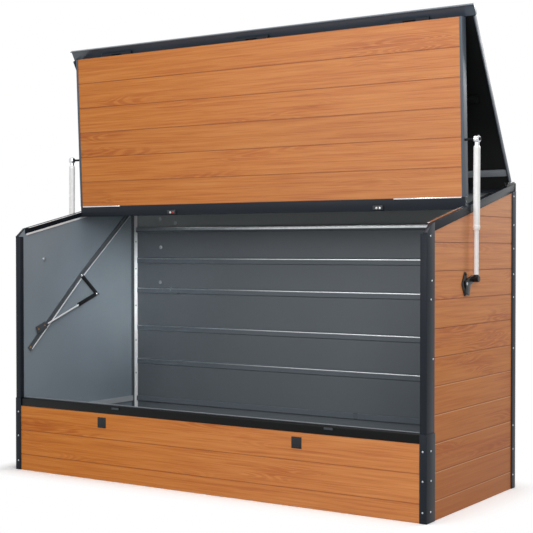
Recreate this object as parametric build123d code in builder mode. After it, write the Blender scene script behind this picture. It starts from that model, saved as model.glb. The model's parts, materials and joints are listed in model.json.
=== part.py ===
# Bike shelter: a low steel-sheet store with plank-faced walls, an open front above a
# low front panel, and a lid of two leaves. The roof leaf turns on a hinge rail along the
# back, the front leaf hangs from the eave, and a gas strut outside each side wall holds
# the lid up. Modelled with the lid open. X runs along the front, Y runs from front to
# back, Z is up, and the origin is on the ground in the middle of the footprint.
import os
from math import cos, hypot, radians, sin

from build123d import *

# Overall sizes of the box
width = 2100
depth = 850
rear_height = 1300
front_height = 1080
eave_cut_depth = 43
eave_cut_rise = 36
wall = 12

# Planks pressed into the sheets
front_plank_pitch = 112
side_plank_pitch = 108
side_first_groove = 74
groove_width = 4
groove_depth = 2

# Lower front panel and the sill on it
lower_panel_height = 296
sill_height = 37
sill_depth = 30
sill_radius = 7

# Corner angles, jambs and trims
post_sheet = 4
post_front_flange = 27
post_side_flange = 68
jamb_sheet = 2
jamb_front_flange = 26
jamb_side_flange = 65
jamb_lip = 20
rear_flange = 36
slope_trim_drop = 32
slope_trim_inner_drop = 24

# Rails, angles and liners inside the box
upper_rail_drop = 192
upper_rail_width = 26
upper_rail_depth = 16
rail_chamfer = 3
rib_heights = (427, 600, 793, 946)
rib_width = 34
rib_depth = 5
ledge_height = 236
ledge_width = 26
ledge_depth = 11
inner_angle_leg = 24
inner_angle_sheet = 3
base_leg = 45
base_sheet = 4
anchor_hole_radius = 5.5
anchor_spacing_y = 560
anchor_inset = 27

# Folding brace and its lever on each side wall, as shares of the depth and the rear height
brace_depth = 5
brace_sheet = 2
brace_width = 24
brace_foot_shares = (0.078, 0.425)
brace_elbow_shares = (0.501, 0.687)
brace_head_shares = (0.941, 0.932)
lever_sheet = 4
lever_width = 20
lever_knee_shares = (0.631, 0.615)
lever_tail_shares = (0.465, 0.574)
stay_rod_radius = 4
stay_rod_length = 236
stay_plate_width = 34
stay_plate_length = 66

# Lid pivots, measured from the back face, the front face and the ground, lid closed
rear_hinge_setback = 70
rear_hinge_drop = 8
hinge_rail_height = 35
swing_clearance = 6
eave_hinge_setback = 36
eave_hinge_drop = 2
roof_open_lean = 30
front_open_lean = 2.5
hinge_pin_radius = 4
hinge_barrel_radius = 7
hinge_fit = 0.05
knuckle_length = 60
knuckle_gap = 1
knuckles_per_hinge = 3
hinge_shares = (-0.74, 0, 0.74)

# Roof leaf
roof_overhang = 6
roof_sheet = 6
roof_lift = 8
roof_rear_lap = 20
roof_notch_gap = 6
roof_rib_count = 9
roof_rib_width = 46
roof_rib_rise = 6
roof_rib_inset = 40
roof_edge_sheet = 4
roof_edge_drop = 20
roof_edge_start = 8
roof_rail_width = 30
roof_rail_depth = 12
roof_rail_side_gap = 40
roof_rear_rail_place = 40
roof_rear_rail_depth = 7
roof_rear_rail_gap = 3
roof_front_rail_place = 96
cap_reach = 34
cap_back = 14
cap_rise = 13
cap_lip = 8
cap_lip_sheet = 4
cap_end_overhang = 11
cap_radius = 8

# Front leaf
leaf_side_gap = 6
leaf_sill_gap = 6
leaf_top_gap = 12
leaf_face_offset = 22
leaf_rail_height = 50
leaf_rail_back = 2
leaf_planks = 6
leaf_trim_width = 12
leaf_trim_sheet = 2
leaf_trim_back = 22
leaf_top_rail_height = 34
leaf_post_width = 40
leaf_post_back = 2
leaf_post_shares = (-0.5, 0, 0.5)

# Latches, strikers and covers
latch_shares = (-0.431, 0.6)
latch_width = 46
latch_height = 18
latch_depth = 12
latch_edge = 5
keeper_width = 40
keeper_height = 8
keeper_depth = 4
cover_shares = (-0.506, 0.46)
cover_size = 46
cover_sheet = 3
cover_drop = 18

# Gas struts
strut_gap = 21
strut_pivot_shares = (0.4706, 0.6946)
stud_drop = 498
stud_radius = 5
stud_air = 2
rod_end_radius = 15
rod_end_width = 24
rod_end_chamfer = 4
socket_length = 34
tube_radius = 13.5
tube_length = 320
rod_radius = 9.5
rod_overlap = 34
rod_bore_fit = 0.3
bore_depth = 120
eye_radius = 13
eye_width = 20
strut_pin_radius = 5
bracket_sheet = 4
bracket_reach = 62
bracket_height = 96
bracket_drop = 19
bracket_bulge = 16
bracket_end_radius = 11
bracket_neck_radius = 15
bracket_pin_head = 3

overrun = 10

# Places worked out from the sizes above
half_width = width / 2
inner_half = half_width - wall
front_y = -depth / 2
back_y = depth / 2
sill_top = lower_panel_height + sill_height
eave_cut_z = front_height + eave_cut_rise
rear_hinge_y = back_y - rear_hinge_setback
rear_hinge_z = rear_height - rear_hinge_drop
eave_closed_y = front_y + eave_hinge_setback
eave_closed_z = eave_cut_z - eave_hinge_drop
roof_length = hypot(rear_hinge_y - eave_closed_y, rear_hinge_z - eave_closed_z)
roof_angle = radians(90 + roof_open_lean)
eave_y = rear_hinge_y + roof_length * cos(roof_angle)
eave_z = rear_hinge_z + roof_length * sin(roof_angle)
front_lean = radians(front_open_lean)
opening_half = half_width - jamb_front_flange
leaf_half = opening_half - leaf_side_gap
leaf_length = eave_closed_z - sill_top - leaf_sill_gap
leaf_wood_end = leaf_length - leaf_rail_height
roof_half = half_width + roof_overhang


def side_sheet(x):
    """Sketch plane of a side wall: sketch X runs back along Y, sketch Y runs up."""
    return Plane(origin=(x, 0, 0), x_dir=(0, 1, 0), z_dir=(1, 0, 0))


def roof_sheet_plane(x):
    """Section plane of the roof leaf: X from the rear hinge to the eave, Y to the outside."""
    return Plane(
        origin=(x, rear_hinge_y, rear_hinge_z),
        x_dir=(0, cos(roof_angle), sin(roof_angle)),
        z_dir=(-1, 0, 0),
    )


def leaf_plane(x):
    """Section plane of the front leaf: X down from the eave hinge, Y to the front."""
    return Plane(
        origin=(x, eave_y, eave_z),
        x_dir=(0, sin(front_lean), -cos(front_lean)),
        z_dir=(-1, 0, 0),
    )


def patch(x_low, x_high, y_low, y_high):
    """Rectangle between two corners, in the sketch that is open."""
    with Locations(((x_low + x_high) / 2, (y_low + y_high) / 2)):
        Rectangle(x_high - x_low, y_high - y_low)


def span(x_near, x_far, y_low, y_high):
    """Rectangle between two widths given in any order."""
    patch(min(x_near, x_far), max(x_near, x_far), y_low, y_high)


def block(x_low, x_high, y_low, y_high, z_low, z_high):
    """Box between two corners, in the part that is open."""
    with Locations(((x_low + x_high) / 2, (y_low + y_high) / 2, (z_low + z_high) / 2)):
        Box(x_high - x_low, y_high - y_low, z_high - z_low)


def save(builder, name):
    """Label a finished piece and write its file."""
    builder.part.label = name
    export_step(builder.part, f"parts/{name}.step")


def on_wall(shares):
    """Place on a side wall, from shares of the depth and the rear height."""
    return front_y + shares[0] * depth, shares[1] * rear_height


def wall_top(y):
    """Height of the sloping top edge of the side walls at a depth y."""
    return eave_cut_z + (y - front_y - eave_cut_depth) * (rear_height - eave_cut_z) / (depth - eave_cut_depth)


os.makedirs("parts", exist_ok=True)
sides = (("left", -1), ("right", 1))
signs = (-1, 1)

# Side walls: plank-pressed sheets with a sloping top and a cut corner at the eave
for side, sign in sides:
    with BuildPart() as side_wall:
        with BuildSketch(side_sheet(sign * inner_half)):
            with BuildLine():
                Polyline(
                    (front_y, 0),
                    (back_y, 0),
                    (back_y, rear_height),
                    (front_y + eave_cut_depth, eave_cut_z),
                    (front_y, front_height),
                    close=True,
                )
            make_face()
        extrude(amount=sign * wall)
        groove_count = int((rear_height - side_first_groove) // side_plank_pitch) + 1
        grooves = [side_first_groove + n * side_plank_pitch for n in range(groove_count)]
        with Locations([(sign * half_width, 0, z) for z in grooves]):
            Box(2 * groove_depth, depth + overrun, groove_width, mode=Mode.SUBTRACT)
    save(side_wall, f"side_wall_{side}")

# Back wall: plank-pressed outside, with shallow swages inside
with BuildPart() as back_wall:
    block(-inner_half, inner_half, back_y - wall, back_y, 0, rear_height - hinge_rail_height)
    groove_count = int((rear_height - rear_hinge_setback - side_first_groove) // side_plank_pitch) + 1
    with Locations([(0, back_y, side_first_groove + n * side_plank_pitch) for n in range(groove_count)]):
        Box(width, 2 * groove_depth, groove_width, mode=Mode.SUBTRACT)
save(back_wall, "back_wall")

# Swages of the back wall: shallow folded ribs along its inside
with BuildPart() as back_ribs:
    for rib_z in rib_heights:
        with BuildSketch(side_sheet(-inner_half + inner_angle_leg)):
            with BuildLine():
                Polyline(
                    (back_y - wall, rib_z),
                    (back_y - wall, rib_z + rib_width),
                    (back_y - wall - rib_depth, rib_z + rib_width - rib_depth),
                    (back_y - wall - rib_depth, rib_z + rib_depth),
                    close=True,
                )
            make_face()
        extrude(amount=2 * (inner_half - inner_angle_leg))
save(back_ribs, "back_ribs")

# Lower front panel: planks counted down from its top edge
with BuildPart() as lower_panel:
    block(-inner_half, inner_half, front_y, front_y + wall, 0, lower_panel_height)
    row_count = int(lower_panel_height // front_plank_pitch)
    rows = [lower_panel_height - (n + 1) * front_plank_pitch for n in range(row_count)]
    with Locations([(0, front_y, z) for z in rows]):
        Box(width, 2 * groove_depth, groove_width, mode=Mode.SUBTRACT)
save(lower_panel, "front_lower_panel")

# Sill: folded rail on the lower panel, with a rounded front edge
with BuildPart() as sill:
    with BuildSketch(side_sheet(-inner_half)):
        patch(front_y, front_y + sill_depth, lower_panel_height, sill_top)
        front_top = vertices().group_by(Axis.Y)[-1].sort_by(Axis.X)[0]
        fillet(front_top, sill_radius)
    extrude(amount=2 * inner_half)
save(sill, "sill")

# Corner angles at the front, the jambs above them and the angles at the back
jamb_top = front_height - jamb_sheet * eave_cut_rise / eave_cut_depth
for side, sign in sides:
    with BuildPart() as corner_post:
        with BuildSketch(Plane.XY):
            edge = sign * (half_width + post_sheet)
            span(sign * (half_width - post_front_flange), edge, front_y - post_sheet, front_y)
            span(sign * half_width, edge, front_y - post_sheet, front_y + post_side_flange)
        extrude(amount=sill_top)
    save(corner_post, f"corner_post_{side}")

    with BuildPart() as jamb:
        with BuildSketch(side_sheet(sign * half_width)):
            with BuildLine():
                Polyline(
                    (front_y - jamb_sheet, sill_top),
                    (front_y + jamb_side_flange, sill_top),
                    (front_y + jamb_side_flange, wall_top(front_y + jamb_side_flange)),
                    (front_y + eave_cut_depth, eave_cut_z),
                    (front_y - jamb_sheet, jamb_top),
                    close=True,
                )
            make_face()
        extrude(amount=sign * jamb_sheet)
        with BuildSketch(Plane.XY.offset(sill_top)):
            edge = sign * (half_width + jamb_sheet)
            span(sign * opening_half, edge, front_y - jamb_sheet, front_y)
            lip_x = sign * (opening_half + jamb_sheet)
            span(sign * opening_half, lip_x, front_y - jamb_sheet, front_y + jamb_lip)
        extrude(amount=jamb_top - sill_top)
    save(jamb, f"front_jamb_{side}")

    with BuildPart() as rear_post:
        post_top = rear_height - slope_trim_drop
        with BuildSketch(side_sheet(sign * half_width)):
            with BuildLine():
                Polyline(
                    (back_y - rear_flange, 0),
                    (back_y + post_sheet, 0),
                    (back_y + post_sheet, post_top),
                    (back_y, post_top),
                    (back_y - rear_flange, wall_top(back_y - rear_flange) - slope_trim_drop),
                    close=True,
                )
            make_face()
        extrude(amount=sign * post_sheet)
        with BuildSketch(Plane.XY):
            edge = sign * (half_width + post_sheet)
            span(sign * (half_width - rear_flange), edge, back_y, back_y + post_sheet)
        extrude(amount=post_top)
    save(rear_post, f"rear_post_{side}")

# Sloping trims: channels folded over the top edges of the side walls
trim_start = front_y + jamb_side_flange
trim_end = back_y + post_sheet
trim_inner_end = back_y - wall - inner_angle_leg
trim_sides = (
    (half_width, jamb_sheet, slope_trim_drop, trim_start, trim_end),
    (inner_half, -jamb_sheet, slope_trim_inner_drop, front_y + eave_cut_depth, trim_inner_end),
)
for side, sign in sides:
    with BuildPart() as slope_trim:
        for face_x, sheet, drop, start, end in trim_sides:
            with BuildSketch(side_sheet(sign * face_x)):
                with BuildLine():
                    Polyline(
                        (start, wall_top(start) - drop),
                        (end, wall_top(end) - drop),
                        (end, wall_top(end)),
                        (start, wall_top(start)),
                        close=True,
                    )
                make_face()
            extrude(amount=sign * sheet)
        with BuildSketch(side_sheet(sign * (inner_half - jamb_sheet))):
            with BuildLine():
                Polyline(
                    (front_y, front_height),
                    (front_y + eave_cut_depth, eave_cut_z),
                    (trim_end, wall_top(trim_end)),
                    (trim_end, wall_top(trim_end) + jamb_sheet),
                    (front_y + eave_cut_depth, eave_cut_z + jamb_sheet),
                    (front_y, front_height + jamb_sheet),
                    close=True,
                )
            make_face()
        extrude(amount=sign * (wall + 2 * jamb_sheet))
    save(slope_trim, f"slope_trim_{side}")

# Rails inside the back wall: the bright upper rail and the ledge near the ground
liner_half = inner_half - inner_angle_leg
with BuildPart() as upper_rail:
    block(
        -liner_half,
        liner_half,
        back_y - wall - upper_rail_depth,
        back_y - wall,
        rear_height - upper_rail_drop,
        rear_height - upper_rail_drop + upper_rail_width,
    )
    chamfer(upper_rail.edges().filter_by(Axis.X).group_by(Axis.Y)[0], rail_chamfer)
save(upper_rail, "back_upper_rail")

with BuildPart() as back_ledge:
    block(
        -liner_half,
        liner_half,
        back_y - wall - ledge_depth,
        back_y - wall,
        ledge_height,
        ledge_height + ledge_width,
    )
    chamfer(back_ledge.edges().filter_by(Axis.X).group_by(Axis.Y)[0], rail_chamfer)
save(back_ledge, "back_ledge")

# Angles in the back corners
with BuildPart() as inner_angles:
    for sign in signs:
        with BuildSketch(Plane.XY.offset(base_leg)):
            face_y = back_y - wall
            span(sign * (inner_half - inner_angle_leg), sign * inner_half, face_y - inner_angle_sheet, face_y)
            span(sign * (inner_half - inner_angle_sheet), sign * inner_half, face_y - inner_angle_leg, face_y)
        extrude(amount=wall_top(back_y - wall - inner_angle_leg) - slope_trim_drop - base_leg)
save(inner_angles, "inner_angles")

# Ledges along the side walls
with BuildPart() as side_ledges:
    for sign in signs:
        with BuildSketch(Plane.XY.offset(ledge_height)):
            span(
                sign * (inner_half - ledge_depth),
                sign * inner_half,
                front_y + sill_depth,
                back_y - wall - inner_angle_leg,
            )
        extrude(amount=ledge_width)
save(side_ledges, "side_ledges")

# Base angles: the flanges on the ground have holes for anchor bolts
with BuildPart() as base_angles:
    for sign in signs:
        with BuildSketch(Plane.XZ.offset(-(front_y + wall))):
            span(sign * (inner_half - base_leg), sign * inner_half, 0, base_sheet)
            span(sign * (inner_half - base_sheet), sign * inner_half, 0, base_leg)
        extrude(amount=-(depth - 2 * wall))
    hole_x = inner_half - anchor_inset
    with Locations(Plane.XY.offset(base_sheet)):
        with GridLocations(2 * hole_x, anchor_spacing_y, len(signs), len(signs)):
            Hole(anchor_hole_radius, base_sheet)
save(base_angles, "base_angles")

# Folding stay on each side wall: a bent channel, a knee lever on it and a rod back to it
with BuildPart() as braces:
    brace_line = [on_wall(brace_foot_shares), on_wall(brace_elbow_shares), on_wall(brace_head_shares)]
    for sign in signs:
        with BuildSketch(side_sheet(sign * inner_half)):
            with BuildLine():
                Polyline(*brace_line)
            trace(line_width=brace_width)
        extrude(amount=-sign * brace_depth)
        with BuildSketch(side_sheet(sign * (inner_half - brace_sheet))):
            with BuildLine():
                Polyline(*brace_line)
            trace(line_width=brace_width - 2 * brace_sheet)
        extrude(amount=-sign * brace_depth, mode=Mode.SUBTRACT)
save(braces, "wall_braces")

lever_x = inner_half - brace_depth
knee = on_wall(lever_knee_shares)
tail = on_wall(lever_tail_shares)
with BuildPart() as levers:
    for sign in signs:
        with BuildSketch(side_sheet(sign * lever_x)):
            with BuildLine():
                Polyline(on_wall(brace_elbow_shares), knee, tail)
            trace(line_width=lever_width)
        extrude(amount=-sign * lever_sheet)
save(levers, "knee_levers")

stay_way = (Vector(0, *tail) - Vector(0, *knee)).normalized()
with BuildPart() as stays:
    for sign in signs:
        with BuildSketch(Plane(origin=(sign * (lever_x - stay_rod_radius), *tail), z_dir=stay_way)):
            Circle(stay_rod_radius)
        extrude(amount=stay_rod_length)
        foot = Vector(sign * lever_x, *tail) + stay_way * stay_rod_length
        with BuildSketch(Plane(origin=foot, x_dir=stay_way, z_dir=(-sign, 0, 0))):
            patch(0, stay_plate_length, -stay_plate_width / 2, stay_plate_width / 2)
        extrude(amount=lever_sheet)
save(stays, "stay_rods")

# Fixed hinge rail: closes the top behind the lid and carries the rear hinge pins
rail_front = rear_hinge_y + hypot(roof_rear_lap, roof_lift + roof_sheet) + swing_clearance
with BuildPart() as hinge_rail:
    with BuildSketch(side_sheet(-inner_half + jamb_sheet)):
        patch(rail_front, back_y, rear_height - hinge_rail_height, rear_height)
    extrude(amount=2 * (inner_half - jamb_sheet))
save(hinge_rail, "rear_hinge_rail")

hinge_places = [share * half_width for share in hinge_shares]
pin_half = knuckles_per_hinge * knuckle_length / 2

# Rear hinges: each has a middle knuckle on the rail, with a pin through it
with BuildPart() as rear_pins:
    for x in hinge_places:
        with BuildSketch(side_sheet(x - pin_half)):
            with Locations((rear_hinge_y, rear_hinge_z)):
                Circle(hinge_pin_radius)
        extrude(amount=2 * pin_half)
        with BuildSketch(side_sheet(x - knuckle_length / 2)):
            with Locations((rear_hinge_y, rear_hinge_z)):
                Circle(hinge_barrel_radius)
            patch(
                rear_hinge_y,
                rail_front,
                rear_hinge_z - hinge_barrel_radius,
                rear_hinge_z + hinge_barrel_radius,
            )
        extrude(amount=knuckle_length)
save(rear_pins, "rear_hinge_pins")

# Roof knuckles on those pins, with leaves that reach under the roof sheet
with BuildPart() as roof_knuckles:
    for x in hinge_places:
        for step in (-1, 1):
            start = x + step * knuckle_length + (knuckle_length - knuckle_gap) / 2 - step * knuckle_gap / 2
            with BuildSketch(roof_sheet_plane(start)):
                Circle(hinge_barrel_radius)
                patch(0, roof_rear_rail_place, 0, roof_lift)
                Circle(hinge_pin_radius + hinge_fit, mode=Mode.SUBTRACT)
            extrude(amount=knuckle_length - knuckle_gap)
save(roof_knuckles, "roof_hinge_leaves")

# Roof sheet: flat with pressed ribs that run down the slope, lapped over the hinge rail
# and notched at the fixed knuckles
notch_end = hinge_barrel_radius + roof_notch_gap
lap_half = inner_half - jamb_sheet - swing_clearance
with BuildPart() as roof:
    with BuildSketch(roof_sheet_plane(roof_half)):
        patch(roof_edge_start, roof_length - cap_back, roof_lift, roof_lift + roof_sheet)
    extrude(amount=2 * roof_half)
    with BuildSketch(roof_sheet_plane(lap_half)):
        patch(-roof_rear_lap, roof_edge_start, roof_lift, roof_lift + roof_sheet)
    extrude(amount=2 * lap_half)
    for x in hinge_places:
        notch_half = knuckle_length / 2 + roof_notch_gap
        with BuildSketch(roof_sheet_plane(x + notch_half)):
            patch(-roof_rear_lap - overrun, notch_end, roof_lift - overrun, roof_lift + roof_sheet + overrun)
        extrude(amount=2 * notch_half, mode=Mode.SUBTRACT)
    rib_pitch = 2 * roof_half / roof_rib_count
    for number in range(roof_rib_count):
        rib_x = -roof_half + rib_pitch / 2 + number * rib_pitch
        with BuildSketch(roof_sheet_plane(rib_x + roof_rib_width / 2)):
            patch(
                roof_rib_inset,
                roof_length - cap_back - roof_rib_inset,
                roof_lift + roof_sheet,
                roof_lift + roof_sheet + roof_rib_rise,
            )
        extrude(amount=roof_rib_width)
save(roof, "roof_sheet")

# Edge flashings down both sides of the roof
with BuildPart() as roof_edges:
    for sign in signs:
        with BuildSketch(roof_sheet_plane(sign * roof_half)):
            patch(
                roof_edge_start,
                roof_length - cap_back,
                roof_lift + roof_sheet - roof_edge_drop,
                roof_lift + roof_sheet,
            )
        extrude(amount=-sign * roof_edge_sheet)
save(roof_edges, "roof_edges")

# Rails under the roof: a flat one near the back, the others in the middle and near the eave
rail_half = inner_half - roof_rail_side_gap
rear_rail_half = roof_half - roof_edge_sheet - roof_rear_rail_gap
roof_rails = (
    ("roof_rear_rail", (roof_rear_rail_place,), rear_rail_half, roof_rear_rail_depth),
    ("roof_rails", (roof_length / 2, roof_length - roof_front_rail_place), rail_half, roof_rail_depth),
)
for name, places, reach, rail_depth in roof_rails:
    with BuildPart() as roof_rail:
        for place in places:
            with BuildSketch(roof_sheet_plane(reach)):
                patch(place, place + roof_rail_width, roof_lift - rail_depth, roof_lift)
            extrude(amount=2 * reach)
    save(roof_rail, name)

# Eave cap: folded nosing that covers the eave hinge
cap_half = half_width + cap_end_overhang
with BuildPart() as cap:
    with BuildSketch(roof_sheet_plane(cap_half)):
        nose = roof_length + cap_reach
        patch(roof_length - cap_back, nose, roof_lift, roof_lift + cap_rise)
        patch(nose - cap_lip_sheet, nose, roof_lift - cap_lip, roof_lift + cap_rise)
        outer_corner = vertices().group_by(Axis.X)[-1].sort_by(Axis.Y)[-1]
        fillet(outer_corner, cap_radius)
    extrude(amount=2 * cap_half)
save(cap, "eave_cap")

# Eave hinges: middle knuckles on the roof with pins, outer knuckles on the front leaf
with BuildPart() as eave_pins:
    for x in hinge_places:
        with BuildSketch(roof_sheet_plane(x + pin_half)):
            with Locations((roof_length, 0)):
                Circle(hinge_pin_radius)
        extrude(amount=2 * pin_half)
        with BuildSketch(roof_sheet_plane(x + knuckle_length / 2)):
            with Locations((roof_length, 0)):
                Circle(hinge_barrel_radius)
            patch(roof_length - roof_rear_rail_place, roof_length, 0, roof_lift)
        extrude(amount=knuckle_length)
save(eave_pins, "eave_hinge_pins")

leaf_back = leaf_face_offset - wall
with BuildPart() as leaf_knuckles:
    for x in hinge_places:
        for step in (-1, 1):
            start = x + step * knuckle_length + (knuckle_length - knuckle_gap) / 2 - step * knuckle_gap / 2
            with BuildSketch(leaf_plane(start)):
                Circle(hinge_barrel_radius)
                patch(0, leaf_top_gap, -leaf_post_back, hinge_barrel_radius)
                Circle(hinge_pin_radius + hinge_fit, mode=Mode.SUBTRACT)
            extrude(amount=knuckle_length - knuckle_gap)
save(leaf_knuckles, "front_leaf_knuckles")

# Front leaf: plank-pressed sheet in a folded frame
leaf_skin_half = leaf_half - leaf_trim_sheet
with BuildPart() as leaf:
    with BuildSketch(leaf_plane(leaf_skin_half)):
        patch(leaf_top_gap, leaf_wood_end, leaf_back, leaf_face_offset)
    extrude(amount=2 * leaf_skin_half)
    plank = (leaf_wood_end - leaf_top_gap) / leaf_planks
    with BuildSketch(leaf_plane(leaf_skin_half)):
        for number in range(1, leaf_planks):
            place = leaf_top_gap + number * plank
            patch(
                place - groove_width / 2,
                place + groove_width / 2,
                leaf_face_offset - groove_depth,
                leaf_face_offset + groove_depth,
            )
    extrude(amount=2 * leaf_skin_half, mode=Mode.SUBTRACT)
save(leaf, "front_leaf_panel")

for side, sign in sides:
    with BuildPart() as leaf_trim:
        with BuildSketch(leaf_plane(sign * leaf_half)):
            patch(
                leaf_top_gap,
                leaf_wood_end,
                leaf_back - leaf_trim_back,
                leaf_face_offset + leaf_trim_sheet,
            )
        extrude(amount=sign * leaf_trim_sheet)
        with BuildSketch(leaf_plane(sign * leaf_half)):
            patch(leaf_top_gap, leaf_wood_end, leaf_face_offset, leaf_face_offset + leaf_trim_sheet)
        extrude(amount=sign * leaf_trim_width)
    save(leaf_trim, f"front_leaf_trim_{side}")

with BuildPart() as leaf_bottom:
    with BuildSketch(leaf_plane(leaf_half)):
        patch(leaf_wood_end, leaf_length, -leaf_rail_back, leaf_face_offset)
    extrude(amount=2 * leaf_half)
save(leaf_bottom, "front_leaf_bottom_rail")

with BuildPart() as leaf_top:
    with BuildSketch(leaf_plane(leaf_skin_half)):
        patch(leaf_top_gap, leaf_top_gap + leaf_top_rail_height, -leaf_post_back, leaf_back)
    extrude(amount=2 * leaf_skin_half)
save(leaf_top, "front_leaf_top_rail")

with BuildPart() as leaf_posts:
    for share in leaf_post_shares:
        with BuildSketch(leaf_plane(share * leaf_half + leaf_post_width / 2)):
            patch(leaf_top_gap + leaf_top_rail_height, leaf_wood_end, -leaf_post_back, leaf_back)
        extrude(amount=leaf_post_width)
save(leaf_posts, "front_leaf_posts")

# Latches on the bottom rail of the front leaf, their keepers and the lock covers
with BuildPart() as latches:
    for share in latch_shares:
        with BuildSketch(leaf_plane(share * half_width + latch_width / 2)):
            latch_low = leaf_length - latch_edge - latch_height
            patch(latch_low, latch_low + latch_height, leaf_face_offset, leaf_face_offset + latch_depth)
        extrude(amount=latch_width)
save(latches, "latches")

with BuildPart() as keepers:
    for share in latch_shares:
        keeper_x = share * half_width
        keeper_top = sill_top - sill_radius
        block(
            keeper_x - keeper_width / 2,
            keeper_x + keeper_width / 2,
            front_y - keeper_depth,
            front_y,
            keeper_top - keeper_height,
            keeper_top,
        )
save(keepers, "latch_keepers")

with BuildPart() as covers:
    for share in cover_shares:
        cover_x = share * half_width
        cover_top = lower_panel_height - cover_drop
        block(
            cover_x - cover_size / 2,
            cover_x + cover_size / 2,
            front_y - cover_sheet,
            front_y,
            cover_top - cover_size,
            cover_top,
        )
save(covers, "lock_covers")

# Gas struts: bracket with a pin on the wall, rod with an eye, tube with a ball and stud
strut_x = half_width + strut_gap
pivot_y, pivot_z = on_wall(strut_pivot_shares)
stud_face = (leaf_back + leaf_face_offset) / 2
stud_y = eave_y + stud_drop * sin(front_lean) - stud_face * cos(front_lean)
stud_z = eave_z - stud_drop * cos(front_lean) - stud_face * sin(front_lean)
strut_length = hypot(stud_y - pivot_y, stud_z - pivot_z)
strut_way = (0, stud_y - pivot_y, stud_z - pivot_z)
tube_end = strut_length - socket_length
tube_start = tube_end - tube_length
for side, sign in sides:
    eye_inner = strut_x - eye_width / 2
    eye_outer = strut_x + eye_width / 2
    with BuildPart() as bracket:
        with BuildSketch(side_sheet(sign * half_width)):
            plate_y = pivot_y - bracket_reach
            plate_z = pivot_z - bracket_drop
            plate_rise = bracket_height / 2 - bracket_end_radius
            with Locations((plate_y, plate_z - plate_rise), (plate_y, plate_z + plate_rise)):
                Circle(bracket_end_radius)
            with Locations((plate_y - bracket_bulge, plate_z)):
                Circle(bracket_neck_radius)
            make_hull()
        extrude(amount=sign * bracket_sheet)
        with BuildSketch(side_sheet(sign * half_width)):
            with Locations((pivot_y, pivot_z), (plate_y, plate_z)):
                Circle(bracket_neck_radius)
            make_hull()
        extrude(amount=sign * bracket_sheet)
        with BuildSketch(side_sheet(sign * (half_width + bracket_sheet))):
            with Locations((pivot_y, pivot_z)):
                Circle(eye_radius - bracket_pin_head)
        extrude(amount=sign * (eye_inner - half_width - bracket_sheet - knuckle_gap))
        with BuildSketch(side_sheet(sign * half_width)):
            with Locations((pivot_y, pivot_z)):
                Circle(strut_pin_radius)
        extrude(amount=sign * (eye_outer - half_width + bracket_pin_head))
    save(bracket, f"strut_bracket_{side}")

    strut_plane = Plane(
        origin=(sign * strut_x, pivot_y, pivot_z), x_dir=(1, 0, 0), z_dir=strut_way
    )
    with BuildPart() as rod:
        with BuildSketch(side_sheet(sign * eye_inner)):
            with Locations((pivot_y, pivot_z)):
                Circle(eye_radius)
        extrude(amount=sign * eye_width)
        with BuildSketch(strut_plane):
            Circle(rod_radius)
        extrude(amount=tube_start + rod_overlap)
        with BuildSketch(side_sheet(sign * (eye_inner - overrun))):
            with Locations((pivot_y, pivot_z)):
                Circle(strut_pin_radius + hinge_fit)
        extrude(amount=sign * (eye_width + 2 * overrun), mode=Mode.SUBTRACT)
    save(rod, f"strut_rod_{side}")

    with BuildPart() as tube:
        with BuildSketch(strut_plane.offset(tube_start)):
            Circle(tube_radius)
        extrude(amount=tube_length)
        with BuildSketch(strut_plane.offset(tube_start)):
            Circle(rod_radius + rod_bore_fit)
        extrude(amount=bore_depth, mode=Mode.SUBTRACT)
        with BuildSketch(strut_plane.offset(tube_end)):
            Circle(rod_radius)
        extrude(amount=socket_length)
        rod_end_centre = (sign * strut_x, stud_y, stud_z)
        with BuildSketch(Plane(origin=rod_end_centre)):
            with BuildLine():
                Polyline(
                    (-rod_end_width / 2, 0),
                    (rod_end_width / 2, 0),
                    (rod_end_width / 2, rod_end_radius - rod_end_chamfer),
                    (rod_end_width / 2 - rod_end_chamfer, rod_end_radius),
                    (rod_end_chamfer - rod_end_width / 2, rod_end_radius),
                    (-rod_end_width / 2, rod_end_radius - rod_end_chamfer),
                    close=True,
                )
            make_face()
        revolve(axis=Axis(rod_end_centre, (1, 0, 0)))
        with BuildSketch(Plane(origin=(sign * (leaf_half + stud_air), stud_y, stud_z), z_dir=(sign, 0, 0))):
            Circle(stud_radius)
        extrude(amount=strut_x - leaf_half - stud_air)
    save(tube, f"strut_tube_{side}")
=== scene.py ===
import json
from math import atan2, cos, radians, sin

import bpy
from mathutils import Matrix, Vector

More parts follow.
